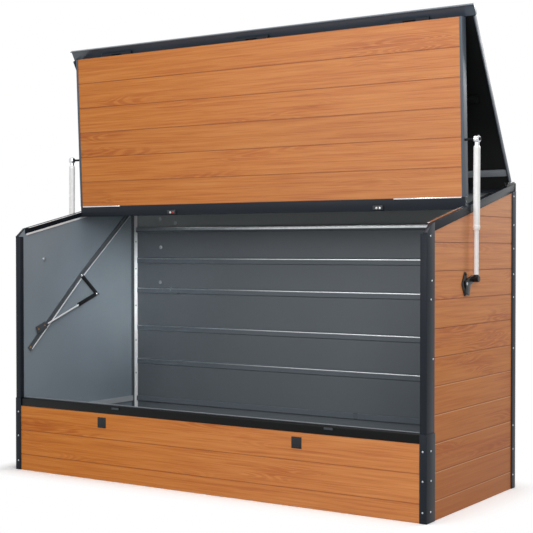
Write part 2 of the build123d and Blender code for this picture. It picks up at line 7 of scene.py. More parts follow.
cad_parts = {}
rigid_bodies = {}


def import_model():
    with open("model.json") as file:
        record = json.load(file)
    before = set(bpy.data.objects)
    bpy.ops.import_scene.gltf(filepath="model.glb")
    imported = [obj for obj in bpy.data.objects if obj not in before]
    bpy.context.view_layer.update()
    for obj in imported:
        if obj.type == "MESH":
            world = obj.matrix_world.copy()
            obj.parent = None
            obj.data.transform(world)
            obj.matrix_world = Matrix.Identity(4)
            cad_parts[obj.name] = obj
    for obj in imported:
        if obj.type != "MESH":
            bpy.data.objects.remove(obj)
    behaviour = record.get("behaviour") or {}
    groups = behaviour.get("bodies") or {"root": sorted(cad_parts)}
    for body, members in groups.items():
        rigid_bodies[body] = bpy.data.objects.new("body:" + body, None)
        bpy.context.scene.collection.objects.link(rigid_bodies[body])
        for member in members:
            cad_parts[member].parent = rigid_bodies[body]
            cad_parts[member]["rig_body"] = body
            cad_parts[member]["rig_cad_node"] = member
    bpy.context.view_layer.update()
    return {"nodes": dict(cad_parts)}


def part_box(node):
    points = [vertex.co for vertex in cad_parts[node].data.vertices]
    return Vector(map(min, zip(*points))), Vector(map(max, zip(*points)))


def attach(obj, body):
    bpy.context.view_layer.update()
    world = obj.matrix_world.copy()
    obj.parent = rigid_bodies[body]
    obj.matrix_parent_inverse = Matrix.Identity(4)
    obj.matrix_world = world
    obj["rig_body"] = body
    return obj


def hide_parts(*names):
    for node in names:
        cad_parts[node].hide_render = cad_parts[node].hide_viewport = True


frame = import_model()

# Studio: a plain pale floor that fades into a white sky, large soft lamps in front and above,
# a small one behind on the right and a narrow one into the box. The camera stands where the
# photograph's stood.
scene = bpy.context.scene
scene.view_settings.view_transform = "Standard"


def add_node(tree, kind, settings=None, **inputs):
    """Add a shader node; inputs are values or sockets, by name with _ for a space."""
    made = tree.nodes.new(kind)
    for key, value in (settings or {}).items():
        setattr(made, key, value)
    for key, value in inputs.items():
        name = int(key[1:]) if key[0] == "i" and key[1:].isdigit() else key.replace("_", " ")
        if isinstance(value, bpy.types.NodeSocket):
            tree.links.new(value, made.inputs[name])
        else:
            made.inputs[name].default_value = value
    return made


def calc(tree, operation, first, second=0.0):
    """One step of arithmetic in a material."""
    return add_node(tree, "ShaderNodeMath", {"operation": operation}, i0=first, i1=second).outputs[0]


def scaled(tree, value, factor, base):
    """Value times a factor, plus a base."""
    return add_node(
        tree, "ShaderNodeMath", {"operation": "MULTIPLY_ADD"}, i0=value, i1=factor, i2=base
    ).outputs[0]


def span(tree, value, low, high, start=0.0, end=1.0):
    """Smooth change from start to end while value goes from low to high."""
    return add_node(
        tree, "ShaderNodeMapRange", {"interpolation_type": "SMOOTHSTEP"},
        Value=value, From_Min=low, From_Max=high, To_Min=start, To_Max=end,
    ).outputs[0]


def axes_of(tree, place):
    """The X, Y and Z of a place."""
    return add_node(tree, "ShaderNodeSeparateXYZ", Vector=place).outputs


def blend_tones(tree, share, first, second, way="MIX"):
    """Mix two colours, each a value or a socket."""
    mix = add_node(tree, "ShaderNodeMix", {"data_type": "RGBA", "blend_type": way})
    for place, value in ((0, share), (6, first), (7, second)):
        if isinstance(value, bpy.types.NodeSocket):
            tree.links.new(value, mix.inputs[place])
        else:
            mix.inputs[place].default_value = value
    return mix.outputs[2]


def new_material(name):
    """A new material: its tree, its principled shader and its object coordinates."""
    material = bpy.data.materials.new(name)
    material.use_nodes = True
    tree = material.node_tree
    shader = tree.nodes["Principled BSDF"]
    place = tree.nodes.new("ShaderNodeTexCoord").outputs["Object"]
    return material, tree, shader, place


def nothing_selected():
    """Leave edit mode and deselect everything."""
    if bpy.context.object and bpy.context.object.mode != "OBJECT":
        bpy.ops.object.mode_set(mode="OBJECT")
    bpy.ops.object.select_all(action="DESELECT")


def seen_directly(tree):
    """1 for what the camera sees, straight or in gloss or glass, and 0 for what gives light."""
    rays = tree.nodes.new("ShaderNodeLightPath").outputs
    shown = calc(tree, "MAXIMUM", rays["Is Camera Ray"], rays["Is Transmission Ray"])
    return calc(tree, "MAXIMUM", shown, rays["Is Glossy Ray"])


pure_white = (1.0, 1.0, 1.0, 1.0)
sky_fill = 0.31
sky = bpy.data.worlds.new("white_sky")
scene.world = sky
sky.use_nodes = True
sky_tree = sky.node_tree
sky_light = scaled(sky_tree, seen_directly(sky_tree), 1 - sky_fill, sky_fill)
sky_tree.nodes["Background"].inputs["Color"].default_value = pure_white
sky_tree.links.new(sky_light, sky_tree.nodes["Background"].inputs["Strength"])

wall_low, wall_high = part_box("side_wall_right")
wall_out, back = wall_high.x, wall_high.y
floor_size, floor_drop, floor_fade = 60, 0.001, 0.18
floor_giving, floor_shown = [(tone, tone, tone, 1.0) for tone in (0.26, 0.97)]
nothing_selected()
bpy.ops.mesh.primitive_plane_add(size=floor_size, location=(0, 0, -floor_drop))
floor = bpy.context.object
floor.name = "studio_floor"
floor_paint, floor_tree, floor_shader, floor_place = new_material("pale_floor")
floor_seen = seen_directly(floor_tree)
floor_tone = blend_tones(floor_tree, floor_seen, floor_giving, floor_shown)
floor_tree.links.new(floor_tone, floor_shader.inputs["Base Color"])
floor_shader.inputs["Roughness"].default_value = 0.9
floor_shader.inputs["Specular IOR Level"].default_value = 0.1
floor_axes = axes_of(floor_tree, floor_place)
past_end = calc(floor_tree, "SUBTRACT", calc(floor_tree, "ABSOLUTE", floor_axes["X"]), wall_out)
past_front = calc(floor_tree, "SUBTRACT", calc(floor_tree, "ABSOLUTE", floor_axes["Y"]), back)
away = calc(floor_tree, "MAXIMUM", past_end, past_front)
pale_share = calc(floor_tree, "MULTIPLY", span(floor_tree, away, low=0.0, high=floor_fade), floor_seen)
glow = add_node(floor_tree, "ShaderNodeEmission", Color=pure_white, Strength=1.0)
fading = add_node(
    floor_tree, "ShaderNodeMixShader", i0=pale_share, i1=floor_shader.outputs[0], i2=glow.outputs[0]
)
floor_tree.links.new(fading.outputs[0], floor_tree.nodes["Material Output"].inputs["Surface"])
floor.data.materials.append(floor_paint)

for lamp_name, spot, aim, size, watts, spread in (
    ("soft_lamp_front", (2.9, -3.8, 2.8), (0.6, 0, 1.1), 2.2, 106, 180),
    ("soft_lamp_left", (-1.8, -5.6, 2.5), (0.2, 0, 1.0), 1.5, 52, 180),
    ("soft_lamp_top", (0.8, -0.6, 5.0), (0.5, 0, 0.8), 3.2, 130, 180),
    ("soft_lamp_rear", (2.4, 3.2, 2.7), (1.05, -0.1, 1.1), 0.6, 58, 180),
    ("soft_lamp_inside", (3.2, -2.2, 0.95), (-1.04, 0.33, 0.78), 0.5, 0.48, 8),
):
    bpy.ops.object.light_add(type="AREA", location=spot)
    lamp = bpy.context.object
    lamp.name = lamp_name
    lamp.data.energy = watts
    lamp.data.size = size
    lamp.data.spread = radians(spread)
    lamp.rotation_euler = (Vector(aim) - Vector(spot)).to_track_quat("-Z", "Y").to_euler()

camera_spot = (3.0548, -4.5333, 1.0189)
camera_dip, camera_turn = radians(1.085), radians(33.454)
camera_lens, camera_sensor, camera_rise = 82.8582, 36, 0.012
bpy.ops.object.camera_add(location=camera_spot, rotation=(radians(90) - camera_dip, 0, camera_turn))
camera = bpy.context.object
camera.data.sensor_width = camera_sensor
camera.data.lens = camera_lens
camera.data.shift_y = camera_rise
scene.camera = camera

# Corner posts, jambs, rear posts and slope trims: steel angles and channels folded from
# sheet, powder-coated anthracite and riveted over the edges of the walls. The flange on
# the ground is the same steel.
mm = 0.001
sides = (("left", -1), ("right", 1))
node = frame["nodes"]


def noise(tree, place, **settings):
    """Soft random patches, 0 to 1."""
    return add_node(tree, "ShaderNodeTexNoise", Vector=place, **settings).outputs["Fac"]


def colour(red, green, blue):
    """A colour as read on screen, 0 to 255, turned into linear light."""
    parts = []
    for value in (red, green, blue):
        share = value / 255
        parts.append(share / 12.92 if share <= 0.04045 else ((share + 0.055) / 1.055) ** 2.4)
    return (*parts, 1.0)


def powder_coat(name, tone, rough=0.36, dust=0.10, inner=None, shine=0.35, peeled=True):
    """Satin powder coat with orange peel; inner is (way, limit, tone) for what lies short of a limit."""
    material, tree, shader, place = new_material(name)
    cloud = noise(tree, place, Scale=5.0, Detail=4.0)
    base = tone
    if inner:
        base = blend_tones(tree, beyond(tree, place, *inner[:2]), inner[2], tone)
    shader.inputs["Specular IOR Level"].default_value = shine
    coat = add_node(tree, "ShaderNodeHueSaturation", Color=base)
    tree.links.new(scaled(tree, cloud, 2 * dust, 1.0 - dust), coat.inputs["Value"])
    tree.links.new(coat.outputs["Color"], shader.inputs["Base Color"])
    patchy = 0.16
    tree.links.new(scaled(tree, cloud, patchy, rough - patchy / 2), shader.inputs["Roughness"])
    if peeled:
        peel = noise(tree, place, Scale=420.0, Detail=2.0)
        bump = add_node(tree, "ShaderNodeBump", Strength=0.03, Distance=0.4 * mm, Height=peel)
        tree.links.new(bump.outputs[0], shader.inputs["Normal"])
    return material


def beyond(tree, place, way, limit):
    """1 where a point lies further along a direction than a limit, else 0."""
    reach = add_node(tree, "ShaderNodeVectorMath", {"operation": "DOT_PRODUCT"}, i0=place, i1=way)
    return calc(tree, "GREATER_THAN", reach.outputs["Value"], limit)


def paint(material, *names):
    """Give CAD nodes a material."""
    for name in names:
        for place in node[name].material_slots:
            place.link = "OBJECT"
            place.material = material


smooth_below, flat_below, fold_above = radians(35), radians(1.5), radians(40)
same_spot = 0.01 * mm


def finish_piece(piece, material, body):
    """Close a modelled piece: smooth rounds, its material and the body that it rides on."""
    nothing_selected()
    piece.select_set(True)
    bpy.context.view_layer.objects.active = piece
    bpy.ops.object.shade_smooth_by_angle(angle=smooth_below)
    piece.data.materials.clear()
    piece.data.materials.append(material)
    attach(piece, body)


def eased(name, material, radius):
    """Round the sharp folds on a copy of a CAD piece; the copy stands for that piece."""
    nothing_selected()
    node[name].select_set(True)
    bpy.context.view_layer.objects.active = node[name]
    bpy.ops.object.duplicate()
    copy = bpy.context.object
    copy.name = copy.data.name = name + "_folded"
    del copy["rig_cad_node"]
    bpy.ops.mesh.customdata_custom_splitnormals_clear()
    bpy.ops.object.mode_set(mode="EDIT")
    bpy.ops.mesh.select_mode(type="EDGE")
    bpy.ops.mesh.select_all(action="SELECT")
    bpy.ops.mesh.remove_doubles(threshold=same_spot)
    bpy.ops.mesh.dissolve_limited(angle_limit=flat_below)
    bpy.ops.mesh.select_all(action="DESELECT")
    bpy.ops.mesh.edges_select_sharp(sharpness=fold_above)
    bpy.ops.mesh.bevel(offset=radius, segments=2, affect="EDGES", clamp_overlap=True)
    finish_piece(copy, material, copy["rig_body"])
    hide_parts(name)


anthracite = powder_coat("anthracite_coat", colour(35, 40, 47), rough=0.4, shine=0.12)
trim_coat = powder_coat("slope_trim_coat", colour(35, 40, 47), rough=0.2, shine=0.1)
paint(anthracite, "base_angles")
post_fold = 1.2 * mm
trim_fold = 0.7 * mm
for side, sign in sides:
    eased("corner_post_" + side, anthracite, post_fold)
    eased("rear_post_" + side, anthracite, post_fold)
    eased("front_jamb_" + side, anthracite, trim_fold)
    eased("slope_trim_" + side, trim_coat, trim_fold)

# Rivets of those angles: bare dome heads eight millimetres across, each with the small dimple
# that its broken-off mandrel leaves.


def bare_metal(name, tone, rough, spangle=0.0):
    """Bare metal; spangle is how much its zinc crystals show."""
    material, tree, shader, place = new_material(name)
    shader.inputs["Metallic"].default_value = 1.0
    cells = add_node(tree, "ShaderNodeTexVoronoi", Vector=place, Scale=110.0).outputs["Color"]
    grey = add_node(tree, "ShaderNodeSeparateColor", Color=cells).outputs[0]
    smear = noise(tree, place, Scale=24.0, Detail=3.0)
    shade = scaled(tree, smear, factor=0.12, base=0.9 - spangle / 2)
    metal = add_node(tree, "ShaderNodeHueSaturation", Color=tone)
    tree.links.new(scaled(tree, grey, spangle, shade), metal.inputs["Value"])
    tree.links.new(metal.outputs["Color"], shader.inputs["Base Color"])
    patchy = 0.2
    tree.links.new(scaled(tree, smear, patchy, rough - patchy / 2), shader.inputs["Roughness"])
    return material


def turned(name, profile, facets=16, bored=False):
    """A round piece along Z, drawn out ring by ring (radius, height in mm); bored leaves it open."""
    nothing_selected()
    (wide, level), *further = [(radius * mm, height * mm) for radius, height in profile]
    bpy.ops.mesh.primitive_circle_add(
        vertices=facets, radius=wide, fill_type="NOTHING" if bored else "NGON", location=(0, 0, 0)
    )
    piece = bpy.context.object
    piece.name = name
    bpy.ops.object.mode_set(mode="EDIT")
    bpy.ops.mesh.select_all(action="SELECT")
    bpy.ops.transform.translate(value=(0, 0, level))
    for radius, height in further:
        bpy.ops.mesh.extrude_region_move(TRANSFORM_OT_translate={"value": (0, 0, height - level)})
        bpy.ops.transform.resize(value=(radius / wide, radius / wide, 1), center_override=(0, 0, height))
        wide, level = radius, height
    bpy.ops.mesh.select_all(action="SELECT")
    bpy.ops.mesh.remove_doubles(threshold=same_spot)
    bpy.ops.mesh.normals_make_consistent(inside=False)
    bpy.ops.object.mode_set(mode="OBJECT")
    return piece


def set_out(pattern, name, places, material, body):
    """Copies of a small piece at places (point, way out of the surface), joined into one piece."""
    copies = []
    for point, way in places:
        nothing_selected()
        pattern.select_set(True)
        bpy.context.view_layer.objects.active = pattern
        bpy.ops.object.duplicate()
        copy = bpy.context.object
        copy.location = point
        copy.rotation_euler = Vector(way).to_track_quat("Z", "Y").to_euler()
        copies.append(copy)
    nothing_selected()
    for copy in copies:
        copy.select_set(True)
    bpy.context.view_layer.objects.active = copies[0]
    if len(copies) > 1:
        bpy.ops.object.join()
    bpy.ops.object.transform_apply(location=True, rotation=True, scale=True)
    group = bpy.context.object
    group.name = group.data.name = name
    finish_piece(group, material, body)


rivet_steel = bare_metal("rivet_steel", colour(178, 182, 187), rough=0.34)
rivet_profile = ((3.8, -0.8), (4.0, 0.4), (3.7, 1.2), (2.7, 2.0), (1.5, 2.4), (1.2, 2.3), (1.0, 1.4))
rivet = turned("rivet_pattern", rivet_profile)
rear_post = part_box("rear_post_right")[1]
jamb_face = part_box("front_jamb_right")[1].x
foot_low, foot_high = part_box("corner_post_right")
post_rows = (0.059, 0.169, 0.270, 0.599, 0.817, 0.914, 1.023, 1.123, 1.245)
jamb_places = ((-0.398, 1.070), (-0.385, 0.903), (-0.392, 0.833), (-0.374, 0.610))
foot_places = ((-0.394, 0.268), (-0.393, 0.157), (-0.396, 0.041))
side_row = rear_post.y - 27 * mm
rear_row = rear_post.x - 22 * mm
front_row = foot_high.x - 17 * mm
rivet_places = []
for side, sign in sides:
    outward = (sign, 0, 0)
    rivet_places += [((sign * rear_post.x, side_row, z), outward) for z in post_rows]
    rivet_places += [((sign * rear_row, rear_post.y, z), (0, 1, 0)) for z in post_rows]
    rivet_places += [((sign * jamb_face, y, z), outward) for y, z in jamb_places]
    rivet_places += [((sign * foot_high.x, y, z), outward) for y, z in foot_places]
    rivet_places += [((sign * front_row, foot_low.y, z), (0, -1, 0)) for y, z in foot_places]
set_out(rivet, "wall_rivets", rivet_places, rivet_steel, "box")

# Plank walls: steel sheets pressed into planks and printed with wood grain outside,
# painted blue-grey inside. The print changes from plank to plank.
wall_in, rear_top = wall_low.x, wall_high.z
grain_dark = colour(184, 104, 50)
grain_mid = colour(203, 125, 63)
grain_light = colour(214, 140, 78)
figure_tint = colour(208, 158, 124)
pore_tint = colour(196, 140, 104)
groove_tone = colour(128, 70, 38)
# Painted haze: a pale tone blended over the upper planks of the side walls, standing in for the sheen of
# light there.
haze_tone = colour(255, 236, 224)
# Painted shade: a darker, richer tone blended over the lowest planks, darker towards the foot.
foot_shade_tone = colour(160, 84, 30)
# Painted highlight: a pale tone on the upper lip of the low planks, where the groove's chamfer catches
# light.
lip_highlight_tone = colour(236, 184, 138)
# The side walls' liner is painted lighter than the back's liner of the same paint, a lit copy standing in
# for more light.
lit_liner_grey = colour(138, 150, 159)


def paint_plank_light(tree, print_tone, up, top_edge, amount):
    """Painted light on the print: a pale haze at the top, painted shade towards the foot, and a painted
    highlight on the upper lip of low planks.
    """
    pale_share = span(tree, up, low=0.55, high=rear_top, end=0.16 * amount)
    foot_shade = span(tree, up, low=0.0, high=0.72, start=0.66 * amount, end=0.0)
    low_down = span(tree, up, low=0.42, high=0.72, start=amount, end=0.0)
    lip_start = span(tree, top_edge, low=1.6 * mm, high=2.4 * mm)
    lip_stop = span(tree, top_edge, low=3.4 * mm, high=5.2 * mm, start=1.0, end=0.0)
    lip_highlight = calc(tree, "MULTIPLY", calc(tree, "MULTIPLY", lip_start, lip_stop), low_down)
    print_tone = blend_tones(tree, pale_share, print_tone, haze_tone)
    print_tone = blend_tones(tree, foot_shade, print_tone, foot_shade_tone)
    return blend_tones(tree, lip_highlight, print_tone, lip_highlight_tone)


def plank_print(
    name, run, first_row, pitch, seed, outside, inside,
    shine=0.42, gain=0.95, turn=0.0, lift=0.0, painted_light=0.0, upper=None,
):
    """Wood-grain print in rows along an axis, on the side beyond outside (way, limit).

    inside is the paint of the back, and upper is (height, paint) for the top of it, a painted light band.
    turn and lift lay the rows along a leaning panel; the argument after them sets how strong the painted
    haze, shade and lip highlights are.
    """
    material, tree, shader, place = new_material(name)
    placed = add_node(
        tree, "ShaderNodeMapping", Vector=place, Rotation=(turn, 0, 0), Location=(0, 0, lift)
    )
    axes = axes_of(tree, placed.outputs[0])
    along, up = axes[run], axes["Z"]
    rows = calc(tree, "DIVIDE", calc(tree, "SUBTRACT", up, first_row), pitch)
    row = calc(tree, "FLOOR", rows)
    across = calc(tree, "SUBTRACT", rows, row)
    below_top = calc(tree, "SUBTRACT", 1.0, across)
    dice = add_node(
        tree, "ShaderNodeTexWhiteNoise", {"noise_dimensions": "1D"}, W=calc(tree, "ADD", row, seed)
    ).outputs["Color"]
    draw = axes_of(tree, dice)
    shifted = scaled(tree, draw["X"], factor=9.0, base=along)

    def streaks(along_scale, up_scale, detail, layer):
        spot = add_node(
            tree, "ShaderNodeCombineXYZ",
            X=calc(tree, "MULTIPLY", shifted, along_scale),
            Y=calc(tree, "MULTIPLY", up, up_scale),
            Z=scaled(tree, row, factor=3.7, base=layer),
        )
        return noise(tree, spot.outputs[0], Scale=1.0, Detail=detail, Roughness=0.55)

    broad = streaks(along_scale=1.6, up_scale=38, detail=3, layer=1.0)
    middle = streaks(along_scale=2.6, up_scale=92, detail=2, layer=3.0)
    fine = streaks(along_scale=4.0, up_scale=210, detail=3, layer=5.0)
    pores = streaks(along_scale=9.0, up_scale=520, detail=2, layer=9.0)
    patches = streaks(along_scale=1.4, up_scale=8, detail=1, layer=13.0)
    broad_share, middle_share, fine_share = 0.28, 0.36, 0.36
    slow = scaled(tree, middle, middle_share, calc(tree, "MULTIPLY", broad, broad_share))
    mixed = scaled(tree, fine, fine_share, slow)
    ramp = tree.nodes.new("ShaderNodeValToRGB")
    stops = ramp.color_ramp.elements
    stops[0].position, stops[1].position = 0.37, 0.63
    stops[0].color, stops[1].color = grain_dark, grain_light
    stops.new(0.49).color = grain_mid
    tree.links.new(mixed, ramp.inputs["Fac"])

    swirl_along, swirl_across, swirl_step, ring_count = 1.3, 1.5, 5.1, 16.0
    swirl = add_node(
        tree, "ShaderNodeCombineXYZ",
        X=calc(tree, "MULTIPLY", shifted, swirl_along),
        Y=calc(tree, "MULTIPLY", calc(tree, "SUBTRACT", across, draw["Z"]), swirl_across),
        Z=calc(tree, "MULTIPLY", row, swirl_step),
    ).outputs[0]
    figure = noise(tree, swirl, Scale=1.5, Detail=1.0, Roughness=0.4, Distortion=0.5)
    rings = calc(tree, "PINGPONG", calc(tree, "MULTIPLY", figure, ring_count), 0.5)
    ring = span(tree, rings, low=0.12, high=0.42, start=1.0, end=0.0)
    figured_patch = span(tree, patches, low=0.52, high=0.70, end=0.46)
    ring_mark = calc(tree, "MULTIPLY", ring, figured_patch)
    figured = blend_tones(tree, ring_mark, ramp.outputs["Color"], figure_tint, "MULTIPLY")
    pore_mark = span(tree, pores, low=0.58, high=0.76, end=0.30)
    pored = blend_tones(tree, pore_mark, figured, pore_tint, "MULTIPLY")
    tone = add_node(tree, "ShaderNodeHueSaturation", Color=pored)
    # Painted haze: the print is painted a little less saturated along its run, where more light falls.
    haze_saturation = span(tree, along, low=-1.0, high=1.0, start=1.06, end=0.985)
    tree.links.new(haze_saturation, tone.inputs["Saturation"])
    tree.links.new(scaled(tree, draw["Y"], factor=0.06, base=gain), tone.inputs["Value"])

    edge = calc(tree, "MULTIPLY", calc(tree, "MINIMUM", across, below_top), pitch)
    groove = span(tree, edge, low=1.6 * mm, high=3.4 * mm, start=0.34, end=0.0)
    print_tone = blend_tones(tree, groove, tone.outputs["Color"], groove_tone)
    # Painted light on the planks: a pale haze at the top, shade at the foot and highlights on low lips.
    if painted_light:
        print_tone = paint_plank_light(tree, print_tone, up, calc(tree, "MULTIPLY", below_top, pitch), painted_light)
    printed = beyond(tree, place, *outside)
    # A painted light band: the inside paint turns lighter above the given height.
    if upper:
        inside = blend_tones(tree, calc(tree, "GREATER_THAN", up, upper[0]), inside, upper[1])
    liner = add_node(tree, "ShaderNodeHueSaturation", Color=inside)
    cloud = noise(tree, place, Scale=3.0, Detail=3.0)
    tree.links.new(scaled(tree, cloud, factor=0.18, base=0.9), liner.inputs["Value"])
    skin = blend_tones(tree, printed, liner.outputs["Color"], print_tone)
    tree.links.new(skin, shader.inputs["Base Color"])
    shader.inputs["Specular IOR Level"].default_value = shine
    sheen = scaled(tree, fine, factor=0.2, base=0.32)
    tree.links.new(scaled(tree, printed, factor=0.06, base=sheen), shader.inputs["Roughness"])
    relief = calc(tree, "MULTIPLY", scaled(tree, pores, factor=0.4, base=fine), printed)
    bump = add_node(tree, "ShaderNodeBump", Strength=0.10, Distance=0.5 * mm, Height=relief)
    tree.links.new(bump.outputs[0], shader.inputs["Normal"])
    return material


side_pitch, side_first = 0.108, 0.074
front_pitch, front_first = 0.112, 0.072
liner_depth = 1.2 * mm
back_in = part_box("back_wall")[0].y
panel_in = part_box("front_lower_panel")[1].y
upper_band = 1.13
for (side, sign), seed in zip(sides, (3.0, 8.0)):
    side_print = plank_print(
        "plank_print_" + side, "Y", side_first, side_pitch, seed,
        ((sign, 0, 0), wall_in + liner_depth), lit_liner_grey, shine=0.26, painted_light=0.75,
    )
    paint(side_print, "side_wall_" + side)
# The back's liner is painted lighter above upper_band, a painted light band where the lid shades the wall.
back_print = plank_print(
    "plank_print_back", "X", side_first, side_pitch, 17.0,
    ((0, 1, 0), back_in + liner_depth), colour(96, 103, 109), upper=(upper_band, colour(146, 152, 153)),
)
paint(back_print, "back_wall")
low_print = plank_print(
    "plank_print_low", "X", front_first, front_pitch, 31.0,
    ((0, -1, 0), liner_depth - panel_in), lit_liner_grey, gain=1.06,
)
paint(low_print, "front_lower_panel")

# Sill on the lower panel, with a bead on which the front leaf closes, painted pale as a painted
# highlight along the sill's edge, the strike plates of the two latches, and two plastic flaps
# over the lock holes. Small caps close the tops of the front corners.
sill_fold, flap_fold = 0.8 * mm, 0.9 * mm
sill_coat = powder_coat("sill_coat", colour(11, 12, 13), rough=0.34, dust=0.08, shine=0.14)
eased("sill", sill_coat, sill_fold)


def flat_bar(name, start, end, section, facing):
    """A straight bar; section is its width, thickness and edge rounding in mm, facing its broad side."""
    width, thick, ease = [size * mm for size in section]
    nothing_selected()
    start, end = Vector(start), Vector(end)
    along = (end - start).normalized()
    out = Vector(facing).normalized()
    bpy.ops.mesh.primitive_cube_add(size=1)
    bar = bpy.context.object
    bar.name = name
    turn = Matrix((along, out.cross(along), out)).transposed().to_4x4()
    size = Matrix.Diagonal(((end - start).length, width, thick, 1))
    bar.matrix_world = Matrix.Translation((start + end) / 2) @ turn @ size
    bpy.ops.object.transform_apply(location=True, rotation=True, scale=True)
    bpy.ops.object.mode_set(mode="EDIT")
    bpy.ops.mesh.select_all(action="SELECT")
    bpy.ops.mesh.bevel(offset=ease, segments=2, affect="EDGES", clamp_overlap=True)
    bpy.ops.mesh.normals_make_consistent(inside=False)
    bpy.ops.object.mode_set(mode="OBJECT")
    return bar


def level_bar(name, left, right, y, z, section, facing):
    """A straight bar along the shelter, from left to right."""
    return flat_bar(name, (left, y, z), (right, y, z), section, facing)


front = wall_low.y
cap_section, bead_section, flap_lip_section = (7, 3, 0.7), (6, 4, 1.6), (5, 3, 0.8)
cap_in, cap_out = jamb_face - 16.5 * mm, jamb_face + 0.5 * mm
trim_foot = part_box("slope_trim_right")[0].z
cap_y, cap_z = front - 0.6 * mm, trim_foot - 1.5 * mm
for side, sign in sides:
    corner_cap = level_bar(
        "corner_cap_" + side, sign * cap_in, sign * cap_out, cap_y, cap_z, cap_section, (0, -1, 0)
    )
    finish_piece(corner_cap, anthracite, "box")
sill_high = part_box("sill")[1]
bead_end = wall_in - 18 * mm
bead_y, bead_z = sill_high.y - 7 * mm, sill_high.z + 1.5 * mm
sill_bead = level_bar("sill_bead", -bead_end, bead_end, bead_y, bead_z, bead_section, (0, 0, 1))
# The bead is painted pale, a painted highlight along the top of the sill.
bead_highlight_coat = powder_coat("sill_bead_highlight_coat", colour(126, 131, 136), rough=0.34)
finish_piece(sill_bead, bead_highlight_coat, "box")
flap_plastic = powder_coat("flap_plastic", colour(46, 48, 51), rough=0.5, dust=0.05, shine=0.15)
eased("lock_covers", flap_plastic, flap_fold)
paint(powder_coat("strike_coat", colour(58, 63, 69), rough=0.3), "latch_keepers")
flap_pin_profile = ((3.4, -0.5), (3.4, 0.8), (2.4, 1.6), (1.0, 1.8))
flap_pin = turned("flap_pin_pattern", flap_pin_profile, facets=12)
flap_low, flap_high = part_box("lock_covers")
flap_half, lip_half = 23 * mm, 15 * mm
flap_middles = (flap_low.x + flap_half, flap_high.x - flap_half)
pin_z, lip_z, lip_y = flap_high.z - 8 * mm, flap_low.z + 6 * mm, flap_low.y - 1 * mm
flap_pins = [((x, flap_low.y, pin_z), (0, -1, 0)) for x in flap_middles]
set_out(flap_pin, "flap_pins", flap_pins, flap_plastic, "box")
for number, x in enumerate(flap_middles):
    flap_lip = level_bar(
        f"flap_lip_{number}", x - lip_half, x + lip_half, lip_y, lip_z, flap_lip_section, (0, -1, 0)
    )
    finish_piece(flap_lip, flap_plastic, "box")

# Inside of the box: folded swages and a back ledge in the liner paint, side ledges painted
# pale as a painted highlight along the foot of the walls, galvanised edges on the rail and the
# ribs of the back, silver strips riveted into the back corners, lips along the slope trims
# painted near white as a painted reflection, and bright flanges along them.
rail_fold = 0.8 * mm
liner_coat = powder_coat("liner_coat", colour(98, 106, 113), rough=0.3)
paint(liner_coat, "back_ribs", "back_ledge")
# The side ledges are painted pale, a painted highlight along the foot of the side walls.
paint(powder_coat("ledge_highlight_coat", colour(176, 182, 187), rough=0.3), "side_ledges")
zinc = bare_metal("galvanised_zinc", colour(206, 210, 212), rough=0.32, spangle=0.16)
satin_silver = powder_coat("satin_silver", colour(242, 244, 246), rough=0.3, dust=0.04, shine=0.6)
eased("back_upper_rail", liner_coat, rail_fold)
paint(powder_coat("angle_coat", colour(98, 106, 112), rough=0.34), "inner_angles")
rail_low, rail_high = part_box("back_upper_rail")
rail_end, rail_y, rail_z = rail_high.x - 2 * mm, rail_low.y - 0.2 * mm, rail_low.z + 16.5 * mm
rail_section, rib_section = (15, 1.6, 0.6), (4.5, 1.4, 0.5)
rail_face = level_bar("upper_rail_face", -rail_end, rail_end, rail_y, rail_z, rail_section, (0, -1, 0))
finish_piece(rail_face, zinc, "box")
ribs_low, ribs_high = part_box("back_ribs")
rib_end, rib_y, rib_crest = ribs_high.x - 4 * mm, ribs_low.y - 0.2 * mm, 26.5 * mm
rib_rows = (0.427, 0.600, 0.793, 0.946)
for number, rib_foot in enumerate(rib_rows):
    rib_edge = level_bar(
        f"rib_edge_{number}", -rib_end, rib_end, rib_y, rib_foot + rib_crest, rib_section, (0, -1, 0)
    )
    finish_piece(rib_edge, zinc, "box")
strip_x, strip_y = wall_in - 18.5 * mm, back_in - 9 * mm
strip_foot, strip_top = 0.05, 1.22
strip_section = (18, 1.6, 0.6)
strip_face = strip_section[1] / 2 * mm
strip_ways = [Vector((-sign, -0.7, 0)).normalized() for side, sign in sides]
for (side, sign), way in zip(sides, strip_ways):
    corner_strip = flat_bar(
        "angle_face_" + side, (sign * strip_x, strip_y, strip_foot), (sign * strip_x, strip_y, strip_top),
        strip_section, way,
    )
    finish_piece(corner_strip, satin_silver, "box")

slope_front_y, slope_front_z = front + 43 * mm, trim_foot + 36 * mm
slope = atan2(rear_top - slope_front_z, back - slope_front_y)
slope_up = (0, -sin(slope), cos(slope))


def wall_top(y):
    """Height of the sloping top of the side walls."""
    return slope_front_z + (y - slope_front_y) * (rear_top - slope_front_z) / (back - slope_front_y)


def sloping_bar(name, x, start, end, lift, section, facing):
    """A straight bar that follows the top of a side wall from start to end, raised by lift."""
    return flat_bar(
        name, (x, start, wall_top(start) + lift), (x, end, wall_top(end) + lift), section, facing
    )


